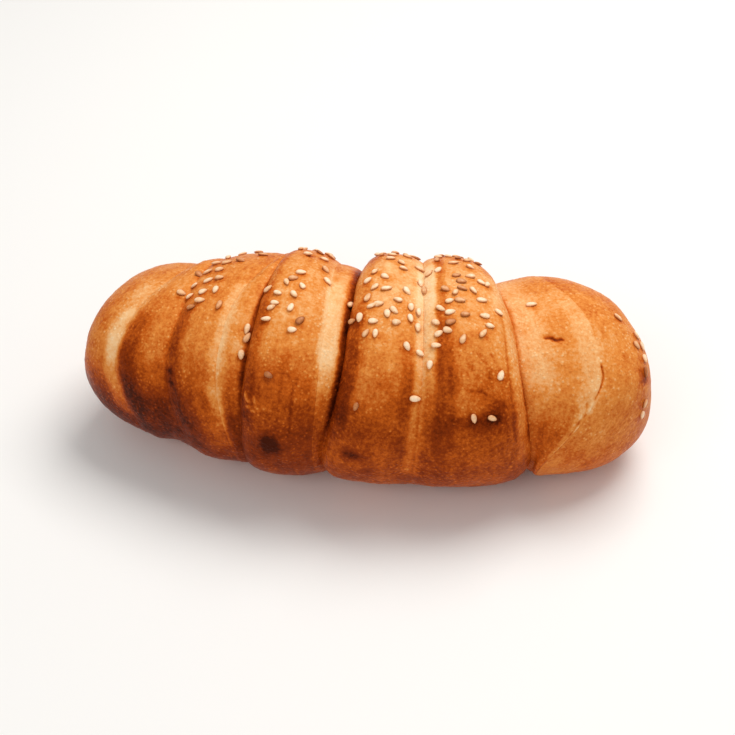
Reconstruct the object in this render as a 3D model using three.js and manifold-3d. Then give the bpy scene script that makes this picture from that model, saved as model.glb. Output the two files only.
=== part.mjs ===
// A sesame bread roll: a strip of dough rolled up from both ends, bent into a slight crescent and
// baked flat on a tray. Millimetres, +Z up, the flat base at z = 0, the bulging long side towards -Y.
import * as THREE from "three";
import { mergeVertices } from "three/addons/utils/BufferGeometryUtils.js";
import Module from "manifold-3d";

// Driving dimensions. A place on the crust is given as a distance along the bent centreline, from the
// left end (-X) to the right end (+X), and an angle around it: 0 on top, 90 at the front, -90 behind.
const BEND_RADIUS = 230; // of the centreline in plan
const CENTRE_HEIGHT = 29.5; // of the centreline over the tray, in the middle
const LEFT_END_HEIGHT = 21;
const RIGHT_END_HEIGHT = 21.5;
const HALF_LENGTH = 89; // of the centreline
const CROWN_SHARE = 0.93; // height of the upper half of a section against its half width
const BELLY_SHARE = 0.85; // and of the lower half, before the tray flattens it
const SMOOTH_RADIUS = 36; // of the even loaf that the underside comes nearer to
const SMOOTH_HALF_LENGTH = 89.5;
const SMOOTH_BLUNTNESS = 2.6;
const UNDERSIDE_SMOOTHING = 0.45;

const SEED_LENGTH = 3.2;
const SEED_WIDTH = 2;
const SEED_THICKNESS = 1.05;
const SEED_GAP = 0.06; // between a seed and the crust under it
const SEED_LIFT_STEP = 0.04;

const STEPS_PER_LAYER = 5;
const STEPS_AROUND = 48;
const SEED_SIDES = 8;
const WELD = 1e-3; // points closer together than this become one

// Each layer of rolled dough runs from the edge of the one before to its own edge. Points are
// [distance along, half width]. bulge holds the two handles of the curve between the edges, and lean
// says how far the edge strays from a square cut: on top, low on the front, and behind.
const LEFT_TIP = [-HALF_LENGTH, 0];
const LAYERS = [
  { bulge: [[-90, 17.5], [-88.5, 31.4]], edge: [-73.5, 32.4], lean: { top: 5, low: 10, back: 9 } },
  { bulge: [[-71, 33.6], [-61, 35]], edge: [-55, 32.6], lean: { top: 0, low: 7, back: 0 } },
  { bulge: [[-54, 34.6], [-45, 38.4]], edge: [-39.5, 35.2], lean: { top: 0, low: 8, back: 9 } },
  { bulge: [[-37.5, 36.6], [-33, 37]], edge: [-30.5, 35], lean: { top: 0, low: 0, back: 1 } },
  { bulge: [[-30.5, 40.2], [-20, 41.2]], edge: [-10.5, 35.8], lean: { top: 0, low: -1, back: -2 } },
  { bulge: [[-8.5, 35.4], [-6, 35.4]], edge: [-3.7, 32.6], lean: { top: 0.5, low: -5, back: 1 } },
  { bulge: [[-3.7, 39.6], [8, 42]], edge: [17.5, 37.2], lean: { top: 0, low: -2, back: 0 } },
  { bulge: [[20.5, 41.6], [43.5, 42]], edge: [45, 31.4], lean: { top: -0.5, low: 3, back: -3 } },
  { bulge: [[49, 30.8], [59, 36.2]], edge: [68, 35.3], lean: { top: -1, low: -18, back: -9 } },
  { bulge: [[78, 36], [90.5, 27.5]], edge: [HALF_LENGTH, 0], lean: { top: 0, low: 0, back: 0 } },
];
const LEAN_CENTRE = { top: 0, low: 110, back: -40 };
const LEAN_REACH = { top: 80, low: 70, back: 65 };

// Sesame seeds: [distance along, angle around, turn of the tip from +X towards the front, toasting].
const SEEDS = [
  // on the third layer from the left
  [-58.8, 11, 10, 0.1], [-54.5, 5, 170, 0], [-54, 13, -40, 0.1], [-50, 11, -30, 0],
  [-46.5, 10, 80, 0], [-49.2, 17, -15, 0.1],
  // on the wide layer left of the middle
  [-21, -4, 0, 0], [-24.5, 4, 65, 0.1], [-22.5, 1, -20, 0.4], [-19.3, 5, 235, 0],
  [-21, 11, 45, 0], [-26, 11, 15, 0], [-20.8, 18, 280, 0], [-26.7, 19, -20, 0],
  [-27, 25, 175, 0], [-17.8, 24, -50, 0.6], [-19.3, 29, -10, 0], [-23.4, 51, 20, 0.8],
  [-13.2, -13, 35, 0.2],
  // on the middle layer
  [1.4, -8, 100, 0], [5.2, -4, 30, 0], [2.3, 3, 130, 0], [5.7, 4, -15, 0.1],
  [5.7, -20, -10, 0.1], [9.5, -17, 60, 0], [11.8, -28, 0, 0.3], [12, 4, 50, 0],
  [10, 10, 195, 0], [9, 16, 40, 0.1], [6.5, 18, 80, 0], [2.2, 14, -20, 0],
  [3, 22, 0, 0], [4, 28, 90, 0], [1.2, 28, -50, 0.2], [9.8, 22, -10, 0],
  [12.8, 33, 60, 0], [1.6, 62, 100, 0.5],
  // on the layer right of the middle
  [28.3, -20, 0, 0], [34, -17, 20, 0.1], [22.8, -13, -50, 0], [28.5, -7, -15, 0.7],
  [33.2, -7, 180, 0], [36.4, -4, 35, 0], [33.5, 3, 60, 0], [27.5, 5, -60, 0],
  [25.3, 10, -25, 0], [36, 8, 5, 0], [22.7, 14, 30, 0], [25.7, 16, -15, 0],
  [36, 17, 185, 0], [24.2, 25, 20, 0], [28.6, 29, -65, 0.1], [34.7, 26, -50, 0.1],
  [37, 22, 15, 0], [39, 45, -65, 0], [30.7, 65, 80, 0.2], [36, 65, 30, 0.1],
  // on the two layers at the right
  [53.5, 0, 20, 0.2], [82.3, 36, 95, 0.2],
];

const CRUST_COLOUR = "#c4752f";
const RAW_SEED_COLOUR = "#efd9ae";
const TOASTED_SEED_COLOUR = "#a9672f";

// A smooth hump of height 1 at an angle, gone at its reach. All in degrees.
function hump(angle, centre, reach) {
  const away = Math.abs(THREE.MathUtils.euclideanModulo(angle - centre + 180, 360) - 180);
  return away < reach ? Math.cos(((away / reach) * Math.PI) / 2) ** 2 : 0;
}

// How far along the dough is pulled at a place, from the leans of the two edges beside it.
function leanAt(along, angle) {
  const still = { edge: LEFT_TIP, lean: { top: 0, low: 0, back: 0 } };
  const edges = [still, ...LAYERS];
  const next = Math.max(1, edges.findIndex(({ edge }) => edge[0] >= along));
  const before = edges[next - 1];
  const after = edges[next];
  const share = (along - before.edge[0]) / (after.edge[0] - before.edge[0]);
  return Object.keys(LEAN_CENTRE).reduce((sum, side) => {
    const lean = THREE.MathUtils.lerp(before.lean[side], after.lean[side], Math.max(share, 0));
    return sum + lean * hump(angle, LEAN_CENTRE[side], LEAN_REACH[side]);
  }, 0);
}

// The point of the crust at a distance along, a half width and an angle around in degrees.
function bakedPoint(along, halfWidth, angle) {
  const turn = THREE.MathUtils.degToRad(angle);
  const share = Math.min(Math.abs(along) / SMOOTH_HALF_LENGTH, 1);
  const smooth = SMOOTH_RADIUS * (1 - share ** SMOOTH_BLUNTNESS) ** (1 / SMOOTH_BLUNTNESS);
  const smoothing = (UNDERSIDE_SMOOTHING * (1 - Math.cos(turn))) / 2;
  const radius = halfWidth ** (1 - smoothing) * smooth ** smoothing;
  const endHeight = along < 0 ? LEFT_END_HEIGHT : RIGHT_END_HEIGHT;
  const axisHeight = THREE.MathUtils.lerp(CENTRE_HEIGHT, endHeight, (along / HALF_LENGTH) ** 2);
  const squash = Math.cos(turn) > 0 ? CROWN_SHARE : BELLY_SHARE;
  const height = Math.max(axisHeight + radius * squash * Math.cos(turn), 0);
  const bend = (along + leanAt(along, angle)) / BEND_RADIUS;
  const toCentre = BEND_RADIUS + radius * Math.sin(turn);
  return new THREE.Vector3(toCentre * Math.sin(bend), BEND_RADIUS - toCentre * Math.cos(bend), height);
}

// The outline of the rolled-up layers: x is the half width, y the distance along.
function layerOutline() {
  const outline = new THREE.Path().moveTo(LEFT_TIP[1], LEFT_TIP[0]);
  for (const { bulge, edge } of LAYERS) {
    outline.bezierCurveTo(bulge[0][1], bulge[0][0], bulge[1][1], bulge[1][0], edge[1], edge[0]);
  }
  return outline.getPoints(STEPS_PER_LAYER);
}

// The whole crust, one closed surface: the outline turned round its axis, then set into its baked shape.
function rollGeometry(outline) {
  const geometry = new THREE.LatheGeometry(outline, STEPS_AROUND);
  geometry.deleteAttribute("normal");
  geometry.deleteAttribute("uv");
  const places = geometry.getAttribute("position");
  const place = new THREE.Vector3();
  for (let i = 0; i < places.count; i += 1) {
    place.fromBufferAttribute(places, i);
    const angle = THREE.MathUtils.radToDeg(Math.atan2(place.x, place.z));
    const baked = bakedPoint(place.y, Math.hypot(place.x, place.z), angle);
    places.setXYZ(i, baked.x, baked.y, baked.z);
  }
  return mergeVertices(geometry, WELD);
}

function halfWidthAt(outline, along) {
  const next = outline.findIndex((point) => point.y > along);
  const before = outline[next - 1];
  const after = outline[next];
  return THREE.MathUtils.mapLinear(along, before.y, after.y, before.x, after.x);
}

// A teardrop, round at its tail and pointed at its tip, flattened, with its tip towards +X.
function seedGeometry() {
  const drop = [[0, -0.5], [0.4, -0.38], [0.5, -0.14], [0.34, 0.2], [0, 0.5]];
  const outline = drop.map(([half, along]) => new THREE.Vector2(half * SEED_WIDTH, along * SEED_LENGTH));
  const geometry = new THREE.LatheGeometry(outline, SEED_SIDES);
  geometry.deleteAttribute("normal");
  geometry.deleteAttribute("uv");
  geometry.rotateZ(-Math.PI / 2);
  geometry.scale(1, 1, SEED_THICKNESS / SEED_WIDTH);
  return mergeVertices(geometry, WELD);
}

// The frame of a seed lying on the crust: its tip along X, the crust's outward direction along Z.
function seatOfSeed(outline, along, angle, turn) {
  const step = 0.5;
  const at = (s, a) => bakedPoint(s, halfWidthAt(outline, s), a);
  const lengthwise = at(along + step, angle).sub(at(along - step, angle)).normalize();
  const around = at(along, angle + step).sub(at(along, angle - step)).normalize();
  const outward = new THREE.Vector3().crossVectors(around, lengthwise).normalize();
  const tip = lengthwise.multiplyScalar(Math.cos(THREE.MathUtils.degToRad(turn)));
  tip.addScaledVector(around, Math.sin(THREE.MathUtils.degToRad(turn)));
  tip.addScaledVector(outward, -tip.dot(outward)).normalize();
  const side = new THREE.Vector3().crossVectors(outward, tip);
  const seat = new THREE.Matrix4().makeBasis(tip, side, outward);
  return { seat, outward, foot: at(along, angle) };
}

const library = await Module();
library.setup();

function solidOf(geometry) {
  const vertProperties = new Float32Array(geometry.getAttribute("position").array);
  const triVerts = new Uint32Array(geometry.index.array);
  return new library.Manifold(new library.Mesh({ numProp: 3, vertProperties, triVerts }));
}

function finish(colour, roughness) {
  return new THREE.MeshStandardMaterial({ color: colour, roughness, metalness: 0 });
}

const outline = layerOutline();
const crust = new THREE.Mesh(rollGeometry(outline), finish(CRUST_COLOUR, 0.45));
crust.name = "bread_roll";
const crustSolid = solidOf(crust.geometry);

// A seed rests on the flat facets of the crust, so it is lifted until it is clear of them.
function makeSeed([along, angle, turn, toasting], index) {
  const geometry = seedGeometry();
  const solid = solidOf(geometry);
  const { seat, outward, foot } = seatOfSeed(outline, along, angle, turn);
  let rise = SEED_THICKNESS / 2;
  const placed = () => seat.setPosition(foot.clone().addScaledVector(outward, rise));
  while (!crustSolid.intersect(solid.transform(placed().toArray())).isEmpty()) rise += SEED_LIFT_STEP;
  rise += SEED_GAP;
  const colour = new THREE.Color(RAW_SEED_COLOUR).lerp(new THREE.Color(TOASTED_SEED_COLOUR), toasting);
  const seed = new THREE.Mesh(geometry, finish(colour, 0.55));
  seed.name = `sesame_seed_${String(index + 1).padStart(2, "0")}`;
  seed.applyMatrix4(placed());
  return seed;
}

const baked = new THREE.Group();
baked.add(crust, ...SEEDS.map(makeSeed));

// The origin is under the middle of the roll, on the surface that it rests on.
const box = new THREE.Box3().setFromObject(baked, true);
const middle = box.getCenter(new THREE.Vector3());
baked.position.set(-middle.x, -middle.y, -box.min.z);
const roll = new THREE.Group();
roll.add(baked);

export default roll;
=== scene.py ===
"""A sesame bread roll: a strip of dough rolled up in overlapping layers, bent into a slight crescent.

The crust is one baked surface in the part's frame, in metres. A place on it is given as in the part: a
distance along the bent centreline in millimetres, from the left end to the right end, and an angle
around it in degrees, 0 on top, 90 at the front and -90 behind. The sesame seeds lie on that surface.
"""

import math
import random

import bpy
import numpy as np
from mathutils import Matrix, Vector, noise


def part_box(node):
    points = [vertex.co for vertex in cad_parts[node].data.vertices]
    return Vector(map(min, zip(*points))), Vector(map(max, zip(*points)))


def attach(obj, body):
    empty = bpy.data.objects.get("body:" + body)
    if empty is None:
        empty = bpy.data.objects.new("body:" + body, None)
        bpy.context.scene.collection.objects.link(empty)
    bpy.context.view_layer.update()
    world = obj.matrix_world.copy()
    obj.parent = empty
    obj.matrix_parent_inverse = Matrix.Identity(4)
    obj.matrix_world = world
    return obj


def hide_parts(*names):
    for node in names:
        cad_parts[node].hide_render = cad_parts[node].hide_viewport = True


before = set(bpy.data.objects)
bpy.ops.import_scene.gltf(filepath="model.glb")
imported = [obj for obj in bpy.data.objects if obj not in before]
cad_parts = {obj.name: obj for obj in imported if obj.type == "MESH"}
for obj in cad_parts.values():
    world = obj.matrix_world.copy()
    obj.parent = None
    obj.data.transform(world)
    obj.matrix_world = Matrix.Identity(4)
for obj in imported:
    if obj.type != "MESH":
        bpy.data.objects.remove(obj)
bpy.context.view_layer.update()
crust_low, crust_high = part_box("bread_roll")

MM = 0.001

# The baked shape, in millimetres, as in the part.
BEND_RADIUS = 230
CENTRE_HEIGHT = 29.5
LEFT_END_HEIGHT = 21
RIGHT_END_HEIGHT = 21.5
HALF_LENGTH = 89
CROWN_SHARE = 0.93
BELLY_SHARE = 0.85
SMOOTH_RADIUS = 36
SMOOTH_HALF_LENGTH = 89.5
SMOOTH_BLUNTNESS = 2.6
UNDERSIDE_SMOOTHING = 0.45
BASE_ROUNDING = 1.6

MEAN_RADIUS = 36  # turns an angle around the roll into a distance over its crust
ROWS_AROUND = 240  # of faces

# Each layer of rolled dough, from the left end to the right: its right-hand edge and the two handles
# of the curve that bulges up to it, as (distance along, half width), how far that edge leans on top,
# low on the front and behind, how deep its crease is, and how many columns of faces the layer gets.
# bake says how brown it is, from 0, pale, to 1, burnt, at the angles in BAKE_ANGLES; its rise low on the
# front is partly browner crust and partly painted shade, where the light from above falls off.
LEFT_TIP = (-HALF_LENGTH, 0)
BAKE_ANGLES = (-150, -90, -30, 5, 40, 60, 80, 105, 150)
LAYERS = [
    # the left end
    dict(
        bulge=((-89.1, 18.5), (-89.4, 31.4)), edge=(-73.5, 32.4), columns=44,
        top=5, low=10, back=9, crease=0.15,
        bake_shade_and_sheen=(0.60, 0.56, 0.46, 0.45, 0.49, 0.60, 0.84, 0.88, 0.66),
    ),
    # the second layer from the left
    dict(
        bulge=((-71.5, 33.6), (-61, 35)), edge=(-55, 33.0), columns=40,
        top=0, low=7, back=0, crease=0.15,
        bake_shade_and_sheen=(0.60, 0.56, 0.46, 0.42, 0.54, 0.68, 0.90, 0.92, 0.66),
    ),
    # the third, under the first seeds
    dict(
        bulge=((-53.4, 34.8), (-45, 38.2)), edge=(-39.5, 35.5), columns=38,
        top=0, low=6, back=9, crease=0.0,
        bake_shade_and_sheen=(0.60, 0.56, 0.46, 0.42, 0.50, 0.62, 0.84, 0.88, 0.64),
    ),
    # a narrow one that the wide layer laps over
    dict(
        bulge=((-37.5, 36.6), (-33, 36.6)), edge=(-30.5, 34.6), columns=24,
        top=0, low=0, back=1, crease=0.6,
        bake_shade_and_sheen=(0.60, 0.56, 0.48, 0.44, 0.33, 0.50, 0.70, 0.80, 0.64),
    ),
    # the wide layer left of the middle
    dict(
        bulge=((-33.0, 40.2), (-20, 41.4)), edge=(-10.5, 35.8), columns=50,
        top=0, low=-1, back=-2, crease=0.25,
        bake_shade_and_sheen=(0.60, 0.56, 0.36, 0.33, 0.50, 0.64, 0.79, 0.82, 0.64),
    ),
    # its tuck
    dict(
        bulge=((-8.5, 35.4), (-6, 35)), edge=(-4, 32.4), columns=18,
        top=0.5, low=-5, back=1, crease=0.5,
        bake_shade_and_sheen=(0.60, 0.56, 0.46, 0.44, 0.46, 0.54, 0.70, 0.76, 0.64),
    ),
    # the middle layer
    dict(
        bulge=((-6.5, 39.8), (8, 42.2)), edge=(17.5, 37.6), columns=48,
        top=0, low=-2, back=0, crease=0.25,
        bake_shade_and_sheen=(0.60, 0.56, 0.29, 0.28, 0.52, 0.60, 0.67, 0.70, 0.62),
    ),
    # the layer right of the middle
    dict(
        bulge=((20.5, 41.4), (44.3, 42.6)), edge=(45, 31.4), columns=52,
        top=-0.5, low=3, back=-3, crease=1.0,
        bake_shade_and_sheen=(0.60, 0.56, 0.33, 0.31, 0.50, 0.59, 0.68, 0.70, 0.62),
    ),
    # the wide pale layer at the right
    dict(
        bulge=((48.5, 31.2), (59, 36.4)), edge=(68, 35.9), columns=44,
        top=-1, low=-18, back=-9, crease=0.1,
        bake_shade_and_sheen=(0.58, 0.54, 0.38, 0.37, 0.42, 0.48, 0.58, 0.62, 0.60),
    ),
    # the right end
    dict(
        bulge=((78, 36), (89.8, 28.5)), edge=(HALF_LENGTH, 0), columns=48,
        top=0, low=0, back=0, crease=0,
        bake_shade_and_sheen=(0.58, 0.54, 0.47, 0.45, 0.43, 0.46, 0.50, 0.53, 0.58),
    ),
]
LEAN_CENTRE = dict(top=0, low=110, back=-40)
LEAN_REACH = dict(top=80, low=70, back=65)
CREASE_WIDTH = 1.1  # in millimetres along

# Low on the front the layers have baked together, so their creases are softer there.
MERGED_FROM, MERGED_TO = 62, 190  # in degrees around
MERGED_BLUR = 44
MERGED_SHARE = 0.9
MERGED_REACH = 3.0  # in millimetres over the crust
MERGED_TIP = 3.9  # half width of the blunt ends, inside which nothing merges
MERGED_TAPER = 26  # how much wider the roll is where the creases merge in full

# Soft patches of stretched pale dough and of painted highlight on the crowns (change below 0), and of
# browner crust and of painted shade on the left flanks and beside the laps (above 0): (from, to) along,
# (from, to) around, change of the bake, blur of the ends along.
PATCHES = [
    ((-77.0, -72.0), (34, 90), -0.28, 3.0),
    ((-78.0, -71.4), (4, 52), -0.17, 5.0),
    ((-72.6, -65.5), (26, 84), 0.14, 3.0),
    ((-62.0, -56.0), (20, 56), -0.05, 3.0),
    # painted shade on the left flank of the third layer, beside its crease
    ((-54.8, -50.8), (22, 84), 0.15, 2.6),
    ((-41.8, -38.2), (4, 80), -0.17, 2.4),
    ((-47.0, -38.6), (66, 104), -0.16, 3.0),
    # painted shadow that the lip of the wide layer casts on the narrow one
    ((-36.5, -30.6), (38, 104), 0.11, 3.0),
    # painted shade on the left flank of the wide layer, high up
    ((-31.4, -27.4), (-44, 26), 0.16, 2.6),
    ((-30.4, -12.0), (-74, -25), 0.09, 3.0),
    # painted shade on the left flank of the wide layer, lower down
    ((-31.4, -26.5), (16, 80), 0.14, 4.0),
    # painted highlight: the sheen of the light from above on the crown of the wide layer
    ((-27.0, -15.0), (12, 36), -0.08, 4.0),
    ((-11.4, -6.2), (-8, 50), -0.28, 1.8),
    ((-11.4, -8.8), (42, 66), -0.09, 1.6),
    ((-11.4, -9.2), (66, 112), -0.03, 1.6),
    # painted shade on the left flank of the middle layer, partly browner crust, high up
    ((-6.2, 0.8), (-44, 24), 0.17, 2.6),
    ((0.2, 4.2), (-48, -8), 0.10, 2.6),
    ((-5.4, 14.4), (-74, -25), 0.11, 3.0),
    # painted shade on the left flank of the middle layer, partly browner crust, lower down
    ((-6.2, -0.2), (16, 74), 0.20, 1.8),
    # painted highlight: the sheen of the light from above on the crown of the middle layer
    ((1.0, 14.5), (18, 44), -0.06, 4.0),
    ((11.4, 15.2), (30, 84), 0.07, 2.0),
    ((15.4, 21.2), (-22, 50), -0.25, 1.8),
    ((15.2, 18.4), (50, 108), -0.14, 1.8),
    # painted shade on the left flank of the layer right of the middle
    ((21.6, 25.0), (-40, 34), 0.17, 1.8),
    ((21.2, 26.4), (30, 84), 0.17, 1.8),
    # painted highlight: the sheen of the light from above on the crown of the layer right of the middle
    ((28.0, 41.0), (22, 48), -0.06, 4.0),
    ((41.6, 44.8), (20, 90), -0.12, 1.2),
    ((38.6, 45.0), (-48, -8), 0.12, 2.6),
    ((21.8, 45.0), (-74, -25), 0.10, 3.0),
    ((45.2, 53.0), (-40, 56), -0.09, 3.6),
    # painted highlight: the sheen of the light from above on the crown of the wide pale layer
    ((50.0, 64.0), (14, 48), -0.03, 5.0),
    ((49.5, 60.0), (72, 100), 0.06, 3.0),
    ((63.0, 68.6), (0, 64), -0.13, 4.4),
    ((63.8, 67.8), (56, 88), -0.15, 2.0),
]
PATCH_BLUR_AROUND = 24  # of the ends of patches and of the painted crease shades, in degrees
TIP_BAKE = 0.56  # of both blunt ends, where the tones of all sides meet
TIP_REACH = 13  # half width within which they do
PATCH_STRAY_ALONG = 0.6  # how far the edges of a patch wander, in millimetres
PATCH_STRAY_AROUND = 12  # and in degrees
PATCH_STRAY_SIZES = (7, 5)  # of the waves in which they do so, along and around

# Thin lines of painted shade in the creases where one layer laps over the next: distance along, half
# width, change of the bake, (from, to) around.
CREASE_SHADES = [
    (-31.6, 0.7, 0.34, (-40, 64)),
    (-5.0, 0.8, 0.24, (-30, 80)),
    (17.4, 0.4, 0.10, (56, 110)),
    (41.3, 0.4, 0.08, (12, 80)),
    (45.1, 0.6, 0.12, (-40, 84)),
]

# Scorched spots: (distance along, angle around), radius in millimetres, change of the bake.
SPOTS = [
    ((-21.8, 90.5), 2.8, 0.33),
    ((-22.2, 85.5), 2.6, 0.28),
    ((2.8, 89), 2.6, 0.28),
    ((4.0, 73), 4.4, 0.13),
    ((30.2, 68.5), 3.6, 0.20),
    ((36.4, 66.5), 3.8, 0.22),
    ((37.5, 60), 3.4, 0.12),
    ((-53.8, 57), 1.3, 0.24),
    ((-53.6, 63), 1.1, 0.22),
    ((81.5, 50), 1.6, 0.34),
    ((80.0, 44), 1.2, 0.20),
]

# Cracks, pits and wrinkles in the crust, and pale blisters, whose depth is below 0: the points that
# each runs through, its half width and its depth.
CRACKS = [
    ([(53.6, 23.4), (54.8, 23.6), (55.8, 25.0), (56.9, 26.2), (58.0, 25.4)], 0.58, 0.56),
    ([(68.0, 40), (68.4, 46), (68.0, 52), (67.5, 57)], 0.30, 0.36),
    ([(65.4, 60), (65.9, 62)], 0.42, 0.30),
    ([(67.0, 60), (67.2, 63)], 0.36, -0.26),
    ([(66.6, 65), (67.0, 66.5)], 0.36, 0.28),
    ([(65.2, 66), (65.6, 68)], 0.36, -0.24),
    ([(66.0, 69.5), (66.5, 71)], 0.42, 0.30),
    ([(67.0, 72), (67.0, 74.5)], 0.34, -0.24),
    ([(66.3, 75.5), (66.7, 77)], 0.36, 0.24),
    ([(66.6, 80), (66.4, 84), (66.0, 88)], 0.34, -0.18),
    ([(-29.2, 61), (-28.8, 64), (-27.6, 65)], 0.36, -0.40),
    ([(-28.8, 68), (-27.6, 67)], 0.36, -0.36),
    ([(-26.8, 62), (-26.2, 65)], 0.36, -0.34),
    ([(-26.8, 69), (-25.6, 68)], 0.36, -0.38),
    ([(-22.0, -22), (-20.4, -22.6), (-19.2, -25)], 0.40, 0.34),
    ([(40.7, 16), (41.2, 40), (41.4, 62), (41.2, 78)], 0.40, 0.13),
    ([(33.2, 36), (35.0, 40), (35.6, 47)], 0.32, 0.20),
    ([(36.6, 36), (38.2, 41), (38.6, 45)], 0.32, 0.20),
    ([(30.6, 40), (31.8, 46), (31.6, 52)], 0.32, 0.16),
    ([(28.4, 50), (30.4, 53), (33.0, 52), (35.2, 55)], 0.32, 0.16),
    ([(-22.4, 34), (-22.8, 44), (-23.0, 58)], 0.28, 0.10),
    ([(-19.6, 30), (-19.4, 42), (-19.8, 60), (-20.0, 74)], 0.28, 0.10),
    ([(-16.4, 22), (-16.2, 40), (-16.6, 62), (-16.8, 80)], 0.30, 0.12),
]

# Broad swellings of the crust, and hollows, whose height is below 0: (distance along, angle around),
# half sizes along and around, height.
SWELLINGS = [
    ((-35.0, -24), (7, 30), 1.9),
    ((-44.0, -30), (8, 30), 0.8),
    ((3.0, -22), (8, 24), 0.5),
    ((57.0, -26), (9, 30), -1.3),
    ((82.0, 112), (8, 34), 2.2),
    ((75.0, 112), (6, 30), 0.8),
    ((50.5, 112), (5, 26), -1.0),
    ((-62.0, 118), (5, 26), -1.6),
]

# The unevenness of the crust: the size and the height of each kind, in millimetres.
LUMP_SIZE, LUMP_HEIGHT = 17, 0.55
RIPPLE_SIZE, RIPPLE_HEIGHT = 7, 0.22
STRETCH_MARK_SIZE, STRETCH_MARK_HEIGHT = 2.4, 0.10
STRETCH_MARK_LENGTHS = (1, 7, 7)  # they are this much longer around the roll than along it
BLISTER_SIZE, BLISTER_HEIGHT = 1.9, 0.30
BLISTER_LEVEL = 0.18  # the noise, from -1 to 1, at which a blister starts
GRIT_SIZE, GRIT_HEIGHT = 0.95, 0.05
RELIEF_HEIGHT, RELIEF_FADE = 1.5, 3  # it fades out at this height over the tray
RELIEF_TIP = 6  # and its lumps and stretch marks within this half width of the ends

# What else browns the crust or paints shade on it, and how high the tray dulls it.
BLOTCH_SIZE, BLOTCH_BAKE = 14, 0.07
CRACK_SHADE = 0.9  # painted shade in cracks, pits and wrinkles, for each millimetre of depth; blisters, whose depth is below 0, get paler
SEED_GLAZE_SHADOW_BAKE = 0.11  # of the painted shadow round a seed, partly browned glaze
SEED_GLAZE_SHADOW_RADIUS = 1.8
SEED_GLAZE_SHADOW_STRETCH = 1.1  # how much longer it is along the roll than around it
SEED_SHADOW_DROP = 1.2  # how far the painted shadow lies down the front, away from the light above, in degrees
TRAY_HEIGHT, TRAY_FADE = 1.2, 2.4

SEED_LENGTH = 3.2
SEED_WIDTH = 2.0
SEED_THICKNESS = 1.05
SEED_SEAT = 0.28  # height of a seed's middle over the crust, as a share of its thickness
SEED_TILT = 0.2  # how far a seed may lie out of true with the crust, as a slope
SEED_BLUNT_SHARE = 1.14  # width and thickness at the blunt end, against an even oval
SEED_TIP_SHARE = 0.72  # and at the tip
SEED_SIZES = (0.88, 1.14)  # length and width of a seed against the usual one, from and to
SEED_PLUMPNESS = (1.0, 1.25)  # and its thickness
SEED_TOASTING_STRAY = (-0.06, 0.14)  # change of a seed's toasting, from and to
SEED_DRAW = 19  # starts the random draws of the seeds

# Sesame seeds: distance along, angle around, turn of the tip from +X towards the front, toasting.
SEEDS = [
    # on the third layer from the left
    (-58.8, 11, 10, 0.1), (-54.5, 5, 170, 0), (-54, 13, -40, 0.1), (-50, 11, -30, 0),
    (-46.5, 10, 80, 0), (-49.2, 17, -15, 0.1),
    # on the wide layer left of the middle
    (-21, -4, 0, 0), (-24.5, 4, 65, 0.1), (-22.5, 1, -20, 0.4), (-19.3, 5, 235, 0),
    (-21, 11, 45, 0), (-26, 11, 15, 0), (-20.8, 18, 280, 0), (-26.7, 19, -20, 0),
    (-27, 25, 175, 0), (-17.8, 24, -50, 0.6), (-19.3, 29, -10, 0), (-23.4, 51, 20, 0.8),
    (-13.2, -13, 35, 0.2),
    # on the middle layer
    (1.4, -8, 100, 0), (5.2, -4, 30, 0), (2.3, 3, 130, 0), (5.7, 4, -15, 0.1),
    (5.7, -20, -10, 0.1), (9.5, -17, 60, 0), (11.8, -28, 0, 0.3), (12, 4, 50, 0),
    (10, 10, 195, 0), (9, 16, 40, 0.1), (6.5, 18, 80, 0), (2.2, 14, -20, 0),
    (3, 22, 0, 0), (4, 28, 90, 0), (1.2, 28, -50, 0.2), (9.8, 22, -10, 0),
    (12.8, 33, 60, 0), (1.6, 62, 100, 0.5),
    # on the layer right of the middle
    (28.3, -20, 0, 0), (34, -17, 20, 0.1), (22.8, -13, -50, 0), (28.5, -7, -15, 0.4),
    (33.2, -7, 180, 0), (36.4, -4, 35, 0), (33.5, 3, 60, 0), (27.5, 5, -60, 0),
    (25.3, 10, -25, 0), (36, 8, 5, 0), (22.7, 14, 30, 0), (25.7, 16, -15, 0),
    (36, 17, 185, 0), (24.2, 25, 20, 0), (28.6, 29, -65, 0.1), (34.7, 26, -50, 0.1),
    (37, 22, 15, 0), (39, 45, -65, 0), (30.7, 65, 80, 0.2), (36, 65, 30, 0.1),
    # on the two layers at the right
    (53.5, 0, 20, 0.05), (82.3, 36, 95, 0.05),
]
CAD_SEED_COUNT = len(SEEDS)

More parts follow.
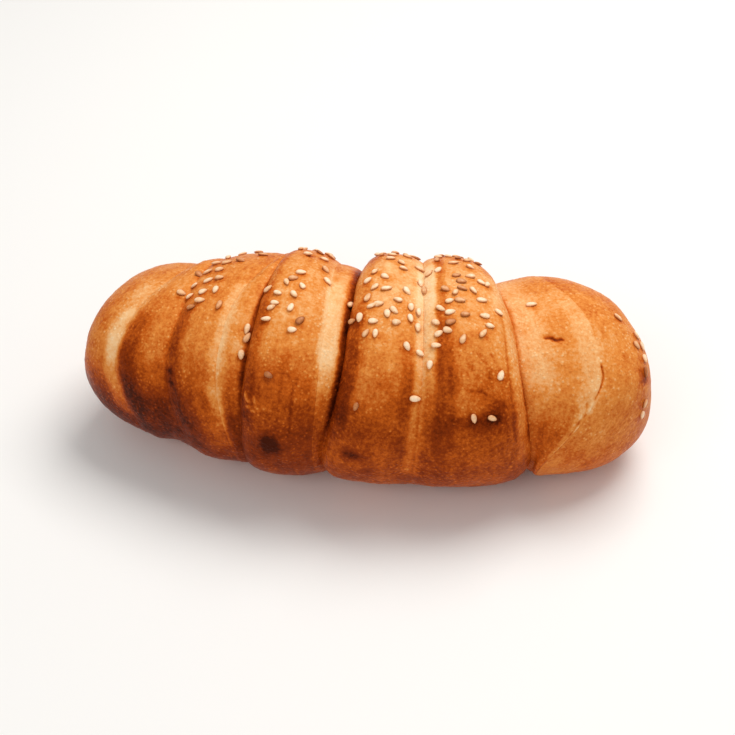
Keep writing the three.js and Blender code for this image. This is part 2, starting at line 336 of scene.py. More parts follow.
# Smaller, half-hidden and toasted seeds, which the part leaves to this model.
MORE_SEEDS = [
    (-51.5, 21, -10, 0.5), (-50.8, 2.5, -35, 0.1), (-48.2, 1, -10, 0.2), (-50, -7, -10, 0.1),
    (-53, -6, -15, 0.1), (-56, -5, 10, 0.5), (-53, -16, 0, 0.1), (-50, -15, -25, 0.3),
    (-47.5, -17, 10, 0.5), (-44, -28, 0, 0.2), (-43, 19, 90, 0.4),
    (-26, 16.5, 0, 0), (-29.3, 8, -35, 0.1), (-11.8, -4, 45, 0), (-32.6, 29.5, 90, 0.1),
    (-32.4, 34, -70, 0.2), (-32.6, 43, 80, 0.2),
    (-0.3, -2, -30, 0), (4, 13, -10, 0), (10.5, -12, 10, 0), (0.3, 9, -70, 0.1),
    (-0.8, 20, 95, 0), (-3, 21, 0, 0.4), (-5, 7, -60, 0.1), (13.7, 13, 85, 0),
    (13.8, 19, 75, 0), (15.8, -17, 15, 0.1), (16.3, -4, 75, 0), (18, 1, 80, 0.2),
    (16, 15, 90, 0), (16, 23, 90, 0.1), (21, 32, 0, 0), (16.8, 35.5, 25, 0),
    (19.7, 41, 95, 0), (15.8, 57, 0, 0),
    (19.7, -11, -45, 0.1), (38.7, -4, -70, 0), (30, -2, 10, 0.4), (30.3, 2.5, 20, 0.4),
    (28.4, 9.5, 10, 0.3), (24.5, 3, 30, 0.45), (29.8, 17, 0, 0.45), (40, 13, 40, 0),
    (21.3, 21, 40, 0.1), (25.8, 21, -20, 0.6), (22.3, 26.5, -30, 0),
    (78.6, 11, 45, 0.1), (82.4, 20, 60, 0), (80.6, 28, 50, 0.3), (83.4, 27, 80, 0),
    (82.2, 66, 90, 0.2), (82.6, 74, 80, 0.1), (82, 45, 90, 0.7),
]

# The back carries scattered seeds as well, in fields: (from, to) along, and how many seeds.
BACK_SEED_FIELDS = [((-28, -13), 11), ((0, 15), 13), ((21, 40), 14), ((-56, -43), 7)]
BACK_SEED_ANGLES = (-66, -22)  # from and to
BACK_SEED_CROWDING = -26  # the angle where they lie closest together
BACK_SEED_SPACING = 3.3
BACK_SEED_TOASTINGS = [0, 0, 0.1, 0.2, 0.6]
BACK_SEED_TRIES = 400  # at most, for each field
BACK_SEED_DRAW = 7


def degrees_from(angle, centre):
    """How far an angle is from a centre, the short way round, from -180 to 180."""
    return (angle - centre + 180) % 360 - 180


def arc_of(angle):
    """An angle in degrees as a distance over the crust in millimetres."""
    return np.radians(angle) * MEAN_RADIUS


def hump(angle, centre, reach):
    """A smooth hump of height 1 at an angle, gone at its reach, in degrees."""
    away = np.abs(degrees_from(angle, centre)) / reach
    return np.where(away < 1, np.cos(away * math.pi / 2) ** 2, 0)


def soft_above(value, low, blur):
    """0 below low and 1 above it, with a soft step between them."""
    share = np.clip((value - low) / blur + 0.5, 0, 1)
    return share * share * (3 - 2 * share)


def soft_between(value, low, high, blur):
    """1 between low and high, with soft ends."""
    return soft_above(value, low, blur) * soft_above(-value, -high, blur)


EDGE_PLACES = np.array([LEFT_TIP[0]] + [layer["edge"][0] for layer in LAYERS], float)


def lean_at(along, angle):
    """How far along the dough is pulled at a place, from the leans of the two edges beside it."""
    total = 0
    for side, centre in LEAN_CENTRE.items():
        leans = [0] + [layer[side] for layer in LAYERS]
        total = total + np.interp(along, EDGE_PLACES, leans) * hump(angle, centre, LEAN_REACH[side])
    return total


def baked_points(along, half_width, angle):
    """The places in millimetres on the crust, for arrays of distances, half widths and angles."""
    turn = np.radians(angle)
    share = np.minimum(np.abs(along) / SMOOTH_HALF_LENGTH, 1)
    smooth = SMOOTH_RADIUS * (1 - share**SMOOTH_BLUNTNESS) ** (1 / SMOOTH_BLUNTNESS)
    smoothing = UNDERSIDE_SMOOTHING * (1 - np.cos(turn)) / 2
    radius = half_width ** (1 - smoothing) * smooth**smoothing
    end_height = np.where(along < 0, LEFT_END_HEIGHT, RIGHT_END_HEIGHT)
    axis_height = CENTRE_HEIGHT + (end_height - CENTRE_HEIGHT) * (along / HALF_LENGTH) ** 2
    squash = np.where(np.cos(turn) > 0, CROWN_SHARE, BELLY_SHARE)
    height = axis_height + radius * squash * np.cos(turn)
    rounded = (height + BASE_ROUNDING) ** 2 / (4 * BASE_ROUNDING)
    height = np.where(height < -BASE_ROUNDING, 0, np.where(height > BASE_ROUNDING, height, rounded))
    bend = (along + lean_at(along, angle)) / BEND_RADIUS
    to_centre = BEND_RADIUS + radius * np.sin(turn)
    return np.stack([to_centre * np.sin(bend), BEND_RADIUS - to_centre * np.cos(bend), height], -1)


def layer_curve(start, layer):
    """Points of one layer's outline, closer together near its edges."""
    share = (1 - np.cos(np.linspace(0, math.pi, layer["columns"] + 1))) / 2
    corners = [np.array(p, float) for p in (start, *layer["bulge"], layer["edge"])]
    weights = [(1 - share) ** 3, 3 * share * (1 - share) ** 2, 3 * share**2 * (1 - share), share**3]
    return sum(w[:, None] * corner for w, corner in zip(weights, corners))


def roll_outline():
    """The whole outline: distances, half widths and the number of the layer of each point."""
    points, owners = [np.array([LEFT_TIP], float)], [np.array([0])]
    start = LEFT_TIP
    for number, layer in enumerate(LAYERS):
        points.append(layer_curve(start, layer)[1:])
        owners.append(np.full(layer["columns"], number))
        start = layer["edge"]
    points = np.concatenate(points)
    for layer in LAYERS[:-1]:
        away = np.abs(points[:, 0] - layer["edge"][0]) / CREASE_WIDTH
        points[:, 1] -= layer["crease"] * np.exp(-away)
    return points[:, 0], points[:, 1], np.concatenate(owners)


def noise_at(points, size, offset=0.0):
    """Smooth noise of about that size in millimetres at each point, from -1 to 1.

    The offset keeps one kind of noise apart from another.
    """
    shift = Vector((offset, offset, offset))
    flat = points.reshape(-1, 3) / size
    values = [noise.noise(Vector(p) + shift) for p in flat]
    return np.array(values).reshape(points.shape[:-1])


def outward_of(points):
    """The outward direction at each point of the grid of columns and rows."""
    along = np.gradient(points, axis=0)
    around = np.roll(points, -1, axis=1) - np.roll(points, 1, axis=1)
    direction = np.cross(around, along)
    length = np.linalg.norm(direction, axis=-1, keepdims=True)
    return direction / np.maximum(length, 1e-9)


def straightened(along, angle):
    """Places on a straight roll of the mean radius, for patterns that follow the crust."""
    turn = np.radians(angle)
    return np.stack([along, np.cos(turn) * MEAN_RADIUS, np.sin(turn) * MEAN_RADIUS], -1)


def distance_to_path(along, arc, path):
    """Distance over the crust from each place to a path of (along, arc) points."""
    nearest = np.full(along.shape, np.inf)
    for (s0, a0), (s1, a1) in zip(path, path[1:]):
        ds, da = s1 - s0, a1 - a0
        share = np.clip(((along - s0) * ds + (arc - a0) * da) / (ds * ds + da * da), 0, 1)
        nearest = np.minimum(nearest, np.hypot(along - s0 - share * ds, arc - a0 - share * da))
    return nearest


def crack_depth(along, angle):
    """How deep the cracks and pits cut at each place."""
    depth = 0
    for path, half_width, cut in CRACKS:
        away = distance_to_path(along, arc_of(angle), [(s, arc_of(a)) for s, a in path])
        depth = depth + cut * np.exp(-((away / half_width) ** 2))
    return depth


def swelling(along, angle):
    """How much the broad swellings lift the crust at each place."""
    lift = 0
    for (s, a), (half_along, half_around), height in SWELLINGS:
        around = degrees_from(angle, a) / half_around
        lift = lift + height * np.exp(-(((along - s) / half_along) ** 2) - around**2)
    return lift


def bake_shade_and_sheen_of(along, angle, owners):
    """How brown the crust is at each place, from 0 to about 1, with painted shade in the creases, on left
    flanks and low on the front, and painted highlight on the crowns.
    """
    tones = np.stack([np.interp(angle[0], BAKE_ANGLES, layer["bake_shade_and_sheen"]) for layer in LAYERS])
    bake_shade_and_sheen = tones[owners]
    near_tip = np.exp(-((WIDTH / TIP_REACH) ** 2))
    bake_shade_and_sheen = bake_shade_and_sheen * (1 - near_tip) + TIP_BAKE * near_tip
    # painted shade lines in the creases under each lap
    for place, half_width, change, (a0, a1) in CREASE_SHADES:
        line = np.exp(-(((along - place) / half_width) ** 2))
        bake_shade_and_sheen = bake_shade_and_sheen + change * line * soft_between(angle, a0, a1, PATCH_BLUR_AROUND)
    size_along, size_around = PATCH_STRAY_SIZES
    stray_along = along + PATCH_STRAY_ALONG * noise_at(SMOOTH_POINTS, size_along, offset=13)
    stray_angle = angle + PATCH_STRAY_AROUND * noise_at(SMOOTH_POINTS, size_around, offset=17)
    for (s0, s1), (a0, a1), change, blur in PATCHES:
        patch = soft_between(stray_along, s0, s1, blur)
        bake_shade_and_sheen = bake_shade_and_sheen + change * patch * soft_between(stray_angle, a0, a1, PATCH_BLUR_AROUND)
    for (s, a), radius, change in SPOTS:
        away = np.hypot(along - s, arc_of(degrees_from(angle, a))) / radius
        bake_shade_and_sheen = bake_shade_and_sheen + change * np.exp(-(away**2))
    return bake_shade_and_sheen


def shift_to_part(points):
    """How far the crust has to move, in millimetres, to lie where the part's crust does."""
    low, high = points.reshape(-1, 3).min(0), points.reshape(-1, 3).max(0)
    middle = (crust_low + crust_high) / 2 / MM
    return np.array([middle.x - (low[0] + high[0]) / 2, middle.y - (low[1] + high[1]) / 2, 0.0])


def softened(along, half_width):
    """The outline with its creases smoothed over."""
    steps = np.hypot(np.diff(along), np.diff(half_width))
    travelled = np.concatenate([[0], np.cumsum(steps)])
    spacing = np.gradient(travelled)
    apart = (travelled[:, None] - travelled[None, :]) / MERGED_REACH
    weights = np.exp(-apart * apart) * spacing[None, :]
    weights = weights / weights.sum(1, keepdims=True)
    return weights @ along, weights @ half_width


# The grid of the crust has a column for each point of the outline and a row for each angle around it.
# Its even shape comes first, in millimetres.
along_line, width_line, owner_line = roll_outline()
angle_line = np.linspace(-180, 180, ROWS_AROUND, endpoint=False)
ALONG, ANGLE = np.meshgrid(along_line, angle_line, indexing="ij")
WIDTH = np.repeat(width_line[:, None], ROWS_AROUND, axis=1)
soft_along, soft_width = softened(along_line, width_line)
MERGED = MERGED_SHARE * soft_between(ANGLE, MERGED_FROM, MERGED_TO, MERGED_BLUR)
MERGED = MERGED * np.clip((WIDTH - MERGED_TIP) / MERGED_TAPER, 0, 1)
ALONG = ALONG + MERGED * (soft_along[:, None] - ALONG)
WIDTH = WIDTH + MERGED * (soft_width[:, None] - WIDTH)
SMOOTH_POINTS = baked_points(ALONG, np.maximum(WIDTH, 0), ANGLE)
OUTWARD = outward_of(SMOOTH_POINTS)
TO_PART = shift_to_part(SMOOTH_POINTS)


def crust_relief():
    """How far the crust stands out from its even shape, in millimetres: lumps, stretch marks, blisters."""
    lumps = LUMP_HEIGHT * noise_at(SMOOTH_POINTS, LUMP_SIZE)
    ripples = RIPPLE_HEIGHT * noise_at(SMOOTH_POINTS, RIPPLE_SIZE, offset=5)
    drawn_out = straightened(ALONG, ANGLE) / np.array(STRETCH_MARK_LENGTHS)
    stretch_marks = STRETCH_MARK_HEIGHT * noise_at(drawn_out, STRETCH_MARK_SIZE, offset=11)
    blisters = np.maximum(noise_at(SMOOTH_POINTS, BLISTER_SIZE, offset=23) - BLISTER_LEVEL, 0)
    grit = GRIT_HEIGHT * noise_at(SMOOTH_POINTS, GRIT_SIZE, offset=31)
    taper = np.minimum(WIDTH / RELIEF_TIP, 1)
    relief = (lumps + ripples + stretch_marks) * taper + swelling(ALONG, ANGLE)
    relief = relief + BLISTER_HEIGHT * blisters + grit - crack_depth(ALONG, ANGLE)
    return relief * soft_above(SMOOTH_POINTS[..., 2], RELIEF_HEIGHT, RELIEF_FADE)


RELIEF = crust_relief()
CRUST_POINTS = SMOOTH_POINTS + OUTWARD * RELIEF[..., None]
CRUST_POINTS[..., 2] = np.maximum(CRUST_POINTS[..., 2], 0)


def place_on_crust(along, angle):
    """The point, outward, lengthwise and around directions at a place, on the finished crust."""
    column = int(np.argmin(np.abs(along_line - along)))
    exact = (angle + 180) / 360 * ROWS_AROUND
    row = int(math.floor(exact))
    share = exact - row
    near, far = row % ROWS_AROUND, (row + 1) % ROWS_AROUND
    point = CRUST_POINTS[column, near] * (1 - share) + CRUST_POINTS[column, far] * share
    outward = OUTWARD[column, near] * (1 - share) + OUTWARD[column, far] * share
    around = CRUST_POINTS[column, far] - CRUST_POINTS[column, near]
    around = around - outward * np.dot(around, outward)
    around = around / np.linalg.norm(around)
    lengthwise = np.cross(outward, around)
    return point, outward / np.linalg.norm(outward), lengthwise, around


def has_room(along, angle, seeds):
    """Whether a place is further from all these seeds than the spacing."""
    arc = arc_of(angle)
    return all(math.hypot(along - s, arc - arc_of(a)) > BACK_SEED_SPACING for s, a, _, _ in seeds)


def back_seeds():
    """Seeds scattered on the back, none closer to another than the spacing."""
    draw = random.Random(BACK_SEED_DRAW)
    placed = []
    for (low, high), count in BACK_SEED_FIELDS:
        made = tries = 0
        while made < count and tries < BACK_SEED_TRIES:
            tries += 1
            along = draw.uniform(low, high)
            angle = draw.triangular(*BACK_SEED_ANGLES, BACK_SEED_CROWDING)
            if has_room(along, angle, SEEDS + MORE_SEEDS + placed):
                placed.append((along, angle, draw.uniform(0, 360), draw.choice(BACK_SEED_TOASTINGS)))
                made += 1
    return placed


ALL_SEEDS = SEEDS + MORE_SEEDS + back_seeds()


def seed_glaze_and_shadow(along, angle):
    """Painted shadow round each seed, lying a little down the front, partly browner glaze that gathers
    there.
    """
    glaze_and_shadow = np.zeros(along.shape)
    for s, a, _, _ in ALL_SEEDS:
        arc = arc_of(degrees_from(angle, a + SEED_SHADOW_DROP))
        away = np.hypot((along - s) / SEED_GLAZE_SHADOW_STRETCH, arc) / SEED_GLAZE_SHADOW_RADIUS
        glaze_and_shadow = np.maximum(glaze_and_shadow, np.exp(-(away**4)))
    return glaze_and_shadow


def object_from(name, vertices, faces):
    """A new object at the origin, with a mesh of these vertices and faces."""
    mesh = bpy.data.meshes.new(name)
    mesh.from_pydata(vertices, [], faces)
    mesh.update()
    made = bpy.data.objects.new(name, mesh)
    bpy.context.scene.collection.objects.link(made)
    return made


def add_attribute(mesh, name, values, kind="FLOAT"):
    """Stores a number or a vector for each vertex."""
    attribute = mesh.attributes.new(name, kind, "POINT")
    field = "value" if kind == "FLOAT" else "vector"
    attribute.data.foreach_set(field, np.asarray(values, np.float32).ravel())


def with_ends_closed(grid):
    """The values of a grid as one list, each of its two ends drawn into one place at the end of it."""
    inside = grid[1:-1].reshape(-1, *grid.shape[2:])
    return np.concatenate([inside, [grid[0].mean(0), grid[-1].mean(0)]])


def crust_faces(columns):
    """The faces between the columns of the crust, and a fan of them at each end."""
    faces = []
    for c in range(columns - 1):
        for r in range(ROWS_AROUND):
            a = c * ROWS_AROUND + r
            b = c * ROWS_AROUND + (r + 1) % ROWS_AROUND
            faces.append((a, b, b + ROWS_AROUND, a + ROWS_AROUND))
    left_end = columns * ROWS_AROUND
    right_end = left_end + 1
    last_column = (columns - 1) * ROWS_AROUND
    for r in range(ROWS_AROUND):
        following = (r + 1) % ROWS_AROUND
        faces.append((left_end, following, r))
        faces.append((right_end, last_column + r, last_column + following))
    return faces


def crust_mesh():
    """The crust as one closed mesh, with what its material needs to know of each place."""
    points = (CRUST_POINTS + TO_PART) * MM
    faces = crust_faces(len(points) - 2)
    crust = object_from("crust", with_ends_closed(points).tolist(), faces)
    crust.data.polygons.foreach_set("use_smooth", [True] * len(faces))
    # the bake also takes the painted shadow round each seed, partly browned glaze
    bake_shade_and_sheen = bake_shade_and_sheen_of(ALONG, ANGLE, owner_line) + SEED_GLAZE_SHADOW_BAKE * seed_glaze_and_shadow(ALONG, ANGLE)
    bake_shade_and_sheen = bake_shade_and_sheen + BLOTCH_BAKE * noise_at(SMOOTH_POINTS, BLOTCH_SIZE, offset=3)
    # painted shade in the cracks, pits and wrinkles
    bake_shade_and_sheen = bake_shade_and_sheen + CRACK_SHADE * crack_depth(ALONG, ANGLE)
    rolled = straightened(ALONG, ANGLE) * MM
    tray = 1 - soft_above(SMOOTH_POINTS[..., 2], TRAY_HEIGHT, TRAY_FADE)
    add_attribute(crust.data, "bake_shade_and_sheen", with_ends_closed(bake_shade_and_sheen))
    add_attribute(crust.data, "rolled", with_ends_closed(rolled), "FLOAT_VECTOR")
    add_attribute(crust.data, "tray", with_ends_closed(tray))
    return crust


NOISE_SPREAD = (0.3, 0.7)  # where most of the values of a noise texture lie


class Nodes:
    """Short ways to add and link nodes in one tree."""

    def __init__(self, tree):
        self.tree = tree

    def add(self, kind, inputs=None, **settings):
        node = self.tree.nodes.new(kind)
        for name, value in settings.items():
            setattr(node, name, value)
        for key, value in (inputs or {}).items():
            self.feed(node.inputs[key], value)
        return node

    def feed(self, socket, value):
        if isinstance(value, bpy.types.NodeSocket):
            self.tree.links.new(value, socket)
        else:
            socket.default_value = value

    def math(self, operation, *values):
        node = self.add("ShaderNodeMath", operation=operation)
        for socket, value in zip(node.inputs, values):
            self.feed(socket, value)
        return node.outputs[0]

    def attribute(self, name):
        return self.add("ShaderNodeAttribute", attribute_name=name)

    def noise(self, vector, scale, detail=2.0, roughness=0.5):
        settings = {"Vector": vector, "Scale": scale, "Detail": detail, "Roughness": roughness}
        return self.add("ShaderNodeTexNoise", settings).outputs["Fac"]

    def spread(self, noise, low, high):
        """A noise texture as a change from low to high."""
        return self.remap(noise, *NOISE_SPREAD, low, high)

    def remap(self, value, low, high, new_low, new_high):
        settings = {0: value, 1: low, 2: high, 3: new_low, 4: new_high}
        return self.add("ShaderNodeMapRange", settings).outputs[0]

    def ramp(self, value, stops):
        node = self.add("ShaderNodeValToRGB", {0: value})
        elements = node.color_ramp.elements
        while len(elements) < len(stops):
            elements.new(0.5)
        for element, (position, colour) in zip(elements, stops):
            element.position = position
            element.color = (*srgb(colour), 1)
        return node.outputs[0]


def srgb(colour):
    """A colour of three numbers from 0 to 255, as seen, in linear light."""
    shares = [c / 255 for c in colour]
    return [s / 12.92 if s <= 0.04045 else ((s + 0.055) / 1.055) ** 2.4 for s in shares]


def new_material(name):
    """A material, the nodes of its tree and its shader."""
    material = bpy.data.materials.new(name)
    material.use_nodes = True
    nodes = Nodes(material.node_tree)
    return material, nodes, material.node_tree.nodes["Principled BSDF"]


BAKE_COLOURS = [
    (0.00, (246, 208, 160)),
    (0.20, (240, 184, 124)),
    (0.40, (225, 139, 62)),
    (0.58, (195, 91, 22)),
    (0.75, (142, 54, 9)),
    (0.90, (104, 34, 5)),
    (1.00, (66, 18, 3)),
]


# The finish of the crust: how many waves or cells of each pattern a metre holds, and how much it
# changes the bake.
MOTTLE_SCALE, MOTTLE_TONE = 190, 0.055
GRAIN_SCALE, GRAIN_TONE = 900, 0.095
STREAK_SCALES, STREAK_TONE = (520, 48, 48), 0.03
DOT_SCALE, DOT_TONE = 720, -0.15
DOT_EDGE = (0.10, 0.38)  # where a pale dot fades out, from the middle of its cell
DOT_FIELD_SCALE, DOT_FIELD_EDGE = 140, (0.38, 0.58)  # the dots come in fields
GLAZE_SCALE, GLAZE_ROUGHNESS = 420, (-0.08, 0.10)
PORE_SCALE = 1300
MATT_BAKE, MATT_ROUGHNESS = 0.1, 0.50  # of pale dough
GLOSSY_BAKE, GLOSSY_ROUGHNESS = 0.6, 0.36  # and of brown crust
TRAY_ROUGHNESS = 0.3  # added where it lay on the tray
STREAK_BUMP, PORE_BUMP, DOT_BUMP = 0.3, 0.35, 0.35
DOT_BUMP_EDGE = (0.05, 0.4)


def crust_material():
    """Egg-washed crust: its brownness, painted shade and painted highlight from the bake, mottled,
    speckled, with stretch marks and pores.
    """
    material, nodes, shader = new_material("egg_washed_crust")
    place = nodes.add("ShaderNodeTexCoord").outputs["Object"]
    rolled = nodes.attribute("rolled").outputs["Vector"]
    streaked = nodes.add("ShaderNodeMapping", {"Vector": rolled, "Scale": STREAK_SCALES}).outputs[0]
    bake_shade_and_sheen = nodes.attribute("bake_shade_and_sheen").outputs["Fac"]
    tray = nodes.attribute("tray").outputs["Fac"]
    mottling = nodes.noise(place, MOTTLE_SCALE, detail=3, roughness=0.55)
    mottling = nodes.spread(mottling, -MOTTLE_TONE, MOTTLE_TONE)
    grain = nodes.noise(place, GRAIN_SCALE, detail=3, roughness=0.7)
    grain = nodes.spread(grain, -GRAIN_TONE, GRAIN_TONE)
    streaks = nodes.noise(streaked, 1, detail=3, roughness=0.6)
    streak_tone = nodes.spread(streaks, -STREAK_TONE, STREAK_TONE)
    cells = nodes.add("ShaderNodeTexVoronoi", {"Vector": place, "Scale": DOT_SCALE}).outputs["Distance"]
    pale_dots = nodes.remap(cells, *DOT_EDGE, DOT_TONE, 0)
    dot_fields = nodes.remap(nodes.noise(place, DOT_FIELD_SCALE), *DOT_FIELD_EDGE, 0, 1)
    pale_dots = nodes.math("MULTIPLY", pale_dots, dot_fields)
    tone = bake_shade_and_sheen
    for part in (mottling, grain, streak_tone, pale_dots):
        tone = nodes.math("ADD", tone, part)
    nodes.feed(shader.inputs["Base Color"], nodes.ramp(tone, BAKE_COLOURS))
    uneven_glaze = nodes.spread(nodes.noise(place, GLAZE_SCALE, detail=3), *GLAZE_ROUGHNESS)
    roughness = nodes.remap(bake_shade_and_sheen, MATT_BAKE, GLOSSY_BAKE, MATT_ROUGHNESS, GLOSSY_ROUGHNESS)
    roughness = nodes.math("ADD", roughness, uneven_glaze)
    roughness = nodes.math("ADD", roughness, nodes.math("MULTIPLY", tray, TRAY_ROUGHNESS))
    nodes.feed(shader.inputs["Roughness"], roughness)
    shader.inputs["Specular IOR Level"].default_value = 0.06
    shader.inputs["Specular Tint"].default_value = (1, 0.62, 0.34, 1)
    height = nodes.math("MULTIPLY", streaks, STREAK_BUMP)
    pores = nodes.noise(place, PORE_SCALE, detail=3, roughness=0.6)
    height = nodes.math("ADD", height, nodes.math("MULTIPLY", pores, PORE_BUMP))
    height = nodes.math("ADD", height, nodes.remap(cells, *DOT_BUMP_EDGE, DOT_BUMP, 0))
    bump = nodes.add("ShaderNodeBump", {"Height": height, "Strength": 0.65, "Distance": 0.0005})
    nodes.feed(shader.inputs["Normal"], bump.outputs[0])
    return material


SEED_COLOURS = [
    (0.0, (255, 224, 190)),
    (0.25, (240, 188, 138)),
    (0.6, (206, 132, 76)),
    (1.0, (160, 88, 42)),
]
SEED_MOTTLE_SCALE, SEED_MOTTLE_TONES = 1100, (-0.10, 0.12)
SEED_FOOT_SHADE = 0.55  # painted shade low on a seed, where it meets the crust
SEED_FOOT_SHADE_HEIGHTS = (-0.3, 0.8)  # heights, in half thicknesses, between which that fades out
SEED_GRAIN_SCALE = 2600


def seed_material():
    """Sesame seed coats: cream, some toasted, a little mottled, with painted shade low down where they
    meet the crust.
    """
    material, nodes, shader = new_material("sesame_seed_coat")
    place = nodes.add("ShaderNodeTexCoord").outputs["Object"]
    toasting = nodes.attribute("toasting").outputs["Fac"]
    mottling = nodes.spread(nodes.noise(place, SEED_MOTTLE_SCALE), *SEED_MOTTLE_TONES)
    height = nodes.attribute("height_on_seed").outputs["Fac"]
    foot_shade = nodes.remap(height, *SEED_FOOT_SHADE_HEIGHTS, SEED_FOOT_SHADE, 0)
    tone = nodes.math("ADD", nodes.math("ADD", toasting, mottling), foot_shade)
    nodes.feed(shader.inputs["Base Color"], nodes.ramp(tone, SEED_COLOURS))
    shader.inputs["Roughness"].default_value = 0.42
    shader.inputs["Specular IOR Level"].default_value = 0.3
    grain = nodes.noise(place, SEED_GRAIN_SCALE)
    bump = nodes.add("ShaderNodeBump", {"Height": grain, "Strength": 0.25, "Distance": 0.0001})
    nodes.feed(shader.inputs["Normal"], bump.outputs[0])
    return material


def floor_material():
    material, _, shader = new_material("pale_floor")
    shader.inputs["Base Color"].default_value = (0.9, 0.89, 0.87, 1)
    shader.inputs["Roughness"].default_value = 0.7
    return material


def seed_points():
    """One point for each seed, with its directions, its size and its toasting."""
    draw = random.Random(SEED_DRAW)
    places, outwards, tips, sizes, toastings = [], [], [], [], []
    for along, angle, turn, toasting in ALL_SEEDS:
        point, outward, lengthwise, around = place_on_crust(along, angle)
        tip = lengthwise * math.cos(math.radians(turn)) + around * math.sin(math.radians(turn))
        size = [draw.uniform(*SEED_SIZES), draw.uniform(*SEED_SIZES), draw.uniform(*SEED_PLUMPNESS)]
        lying = outward + lengthwise * draw.uniform(-SEED_TILT, SEED_TILT)
        lying = lying + around * draw.uniform(-SEED_TILT, SEED_TILT)
        lift = SEED_THICKNESS * size[2] * SEED_SEAT
        places.append(((point + outward * lift + TO_PART) * MM).tolist())
        outwards.append(lying)
        tips.append(tip)
        sizes.append(size)
        toastings.append(min(1, max(0, toasting + draw.uniform(*SEED_TOASTING_STRAY))))
    points = object_from("sesame_seeds", places, [])
    add_attribute(points.data, "outward", outwards, "FLOAT_VECTOR")
    add_attribute(points.data, "tip", tips, "FLOAT_VECTOR")
    add_attribute(points.data, "size", sizes, "FLOAT_VECTOR")
    add_attribute(points.data, "toasting", toastings)
    return points


def named_attribute(nodes, name, kind):
    """What a geometry tree reads from an attribute of its points."""
    node = nodes.add("GeometryNodeInputNamedAttribute", {"Name": name}, data_type=kind)
    return node.outputs["Attribute"]


def seed_tree(material):
    """Sets one teardrop seed on each point, its flat side along the crust and its tip where tip says."""
    tree = bpy.data.node_groups.new("SesameSeeds", "GeometryNodeTree")
    tree.interface.new_socket("Geometry", in_out="INPUT", socket_type="NodeSocketGeometry")
    tree.interface.new_socket("Geometry", in_out="OUTPUT", socket_type="NodeSocketGeometry")
    for name, size in (("Length", SEED_LENGTH), ("Width", SEED_WIDTH), ("Thickness", SEED_THICKNESS)):
        socket = tree.interface.new_socket(name, in_out="INPUT", socket_type="NodeSocketFloat")
        socket.default_value = size * MM
    nodes = Nodes(tree)
    entry = nodes.add("NodeGroupInput")
    ball = nodes.add("GeometryNodeMeshUVSphere", {"Segments": 12, "Rings": 9, "Radius": 0.5})
    # Turn the ball's poles onto the seed's length, then draw it out into a teardrop.
    lying = nodes.add(
        "GeometryNodeTransform", {"Geometry": ball.outputs["Mesh"], "Rotation": (0, math.pi / 2, 0)}
    )
    parts = nodes.add("ShaderNodeSeparateXYZ", {0: nodes.add("GeometryNodeInputPosition").outputs[0]})
    taper = nodes.remap(parts.outputs["X"], -0.5, 0.5, SEED_BLUNT_SHARE, SEED_TIP_SHARE)
    across = nodes.math("MULTIPLY", parts.outputs["Y"], taper)
    upward = nodes.math("MULTIPLY", parts.outputs["Z"], taper)
    drawn = nodes.add("ShaderNodeCombineXYZ", {
        "X": nodes.math("MULTIPLY", parts.outputs["X"], entry.outputs["Length"]),
        "Y": nodes.math("MULTIPLY", across, entry.outputs["Width"]),
        "Z": nodes.math("MULTIPLY", upward, entry.outputs["Thickness"]),
    })
    seed = nodes.add(
        "GeometryNodeSetPosition", {"Geometry": lying.outputs[0], "Position": drawn.outputs[0]}
    )
    level = nodes.add("ShaderNodeSeparateXYZ", {0: nodes.add("GeometryNodeInputPosition").outputs[0]})
    half_height = nodes.math("MULTIPLY", entry.outputs["Thickness"], 0.5)
    marked = nodes.add("GeometryNodeStoreNamedAttribute", {
        "Geometry": seed.outputs[0],
        "Name": "height_on_seed",
        "Value": nodes.math("DIVIDE", level.outputs["Z"], half_height),
    }, data_type="FLOAT", domain="POINT")
    upright = nodes.add(
        "FunctionNodeAlignRotationToVector",
        {"Vector": named_attribute(nodes, "outward", "FLOAT_VECTOR")},
        axis="Z",
    )
    turned = nodes.add(
        "FunctionNodeAlignRotationToVector",
        {"Rotation": upright.outputs[0], "Vector": named_attribute(nodes, "tip", "FLOAT_VECTOR")},
        axis="X", pivot_axis="Z",
    )
    strewn = nodes.add("GeometryNodeInstanceOnPoints", {
        "Points": entry.outputs["Geometry"],
        "Instance": marked.outputs[0],
        "Rotation": turned.outputs[0],
        "Scale": named_attribute(nodes, "size", "FLOAT_VECTOR"),
    })
    real = nodes.add("GeometryNodeRealizeInstances", {"Geometry": strewn.outputs[0]})
    smooth = nodes.add("GeometryNodeSetShadeSmooth", {"Geometry": real.outputs[0]})
    coated = nodes.add("GeometryNodeSetMaterial", {"Geometry": smooth.outputs[0], "Material": material})
    nodes.add("NodeGroupOutput", {"Geometry": coated.outputs[0]})
    return tree


def set_input(modifier, name, value):
    """Sets a named input of a geometry tree by its socket's identifier."""
    item = next(i for i in modifier.node_group.interface.items_tree if i.name == name)
    modifier[item.identifier] = value


def sesame_seeds(material):
    """All the seeds as one plain mesh."""
    points = seed_points()
    modifier = points.modifiers.new("strew", "NODES")
    modifier.node_group = seed_tree(material)
    set_input(modifier, "Length", SEED_LENGTH * MM)
    set_input(modifier, "Width", SEED_WIDTH * MM)
    set_input(modifier, "Thickness", SEED_THICKNESS * MM)
    evaluated = points.evaluated_get(bpy.context.evaluated_depsgraph_get())
    mesh = bpy.data.meshes.new_from_object(evaluated)
    points.modifiers.remove(modifier)
    points.data = mesh
    return points


FLOOR_REACH = 3.0  # in metres


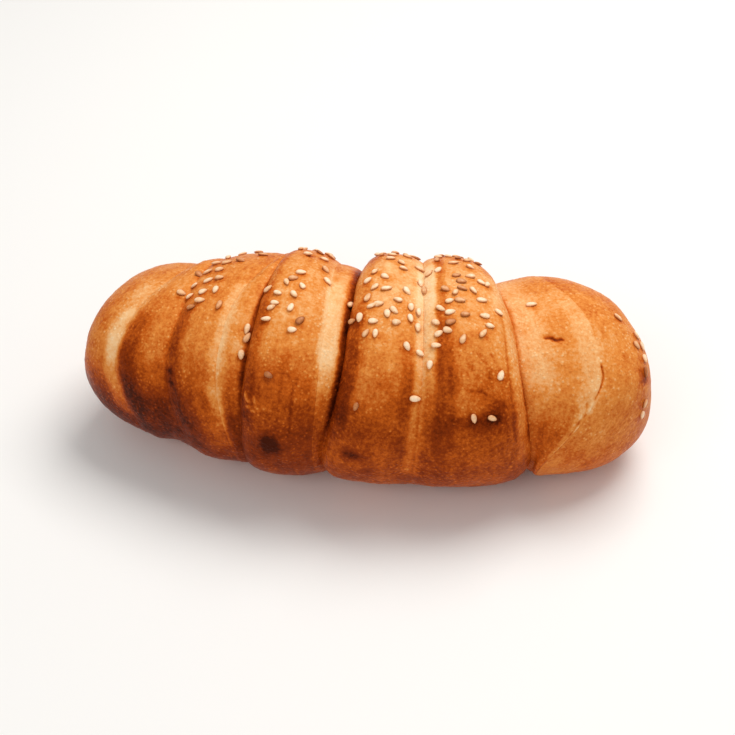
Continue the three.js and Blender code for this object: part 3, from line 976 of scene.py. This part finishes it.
def floor():
    corners = [(x * FLOOR_REACH, y * FLOOR_REACH, 0) for x, y in ((-1, -1), (1, -1), (1, 1), (-1, 1))]
    made = object_from("floor", corners, [(0, 1, 2, 3)])
    made.data.materials.append(floor_material())


def aim(thing, target):
    """Turns a light or the camera towards a place."""
    thing.rotation_euler = (Vector(target) - thing.location).to_track_quat("-Z", "Y").to_euler()


def softbox(name, place, target, size, power, colour=(1, 1, 1)):
    """A broad lamp: sizes in metres, power in watts."""
    data = bpy.data.lights.new(name, "AREA")
    data.shape = "RECTANGLE"
    data.size, data.size_y = size
    data.energy = power
    data.color = colour
    light = bpy.data.objects.new(name, data)
    light.location = place
    bpy.context.scene.collection.objects.link(light)
    aim(light, target)


OVERHEAD_POWER = 5.1
FRONT_FILL_POWER = 2.8
ROOM_BRIGHTNESS = 0.44
LAMP_WHITE = (1, 0.985, 0.96)
ROOM_WHITE = (1, 0.99, 0.98, 1)


def studio():
    """A broad light over the roll, a little behind it and to the right, a weak one and a pale room."""
    softbox("overhead", (0.22, 0.26, 0.75), (0, 0, 0.02), (0.55, 0.45), OVERHEAD_POWER, LAMP_WHITE)
    softbox("front_fill", (-0.4, -0.8, 0.7), (0, 0, 0.03), (0.8, 0.6), FRONT_FILL_POWER)
    world = bpy.data.worlds.new("pale_room")
    world.use_nodes = True
    background = world.node_tree.nodes["Background"]
    background.inputs["Color"].default_value = ROOM_WHITE
    background.inputs["Strength"].default_value = ROOM_BRIGHTNESS
    bpy.context.scene.world = world
    bpy.context.scene.view_settings.view_transform = "Standard"


CAMERA_AZIMUTH = 6
CAMERA_ELEVATION = 42
CAMERA_DISTANCE = 0.53
CAMERA_AIM = (0.0005, 0.003, 0.027)  # from the middle of the crust's base, in metres
CAMERA_LENS = 80
CAMERA_SENSOR = 36


def camera():
    middle = (crust_low + crust_high) / 2
    target = Vector((middle.x, middle.y, 0)) + Vector(CAMERA_AIM)
    turn, rise = math.radians(CAMERA_AZIMUTH), math.radians(CAMERA_ELEVATION)
    back = Vector((math.sin(turn) * math.cos(rise), -math.cos(turn) * math.cos(rise), math.sin(rise)))
    data = bpy.data.cameras.new("camera")
    data.lens = CAMERA_LENS
    data.sensor_width = CAMERA_SENSOR
    made = bpy.data.objects.new("camera", data)
    made.location = target + back * CAMERA_DISTANCE
    bpy.context.scene.collection.objects.link(made)
    aim(made, target)
    bpy.context.scene.camera = made


camera()
studio()
floor()

crust = crust_mesh()
crust.data.materials.append(crust_material())
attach(crust, "root")
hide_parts("bread_roll")

seeds = sesame_seeds(seed_material())
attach(seeds, "root")
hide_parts(*[f"sesame_seed_{i + 1:02d}" for i in range(CAD_SEED_COUNT)])
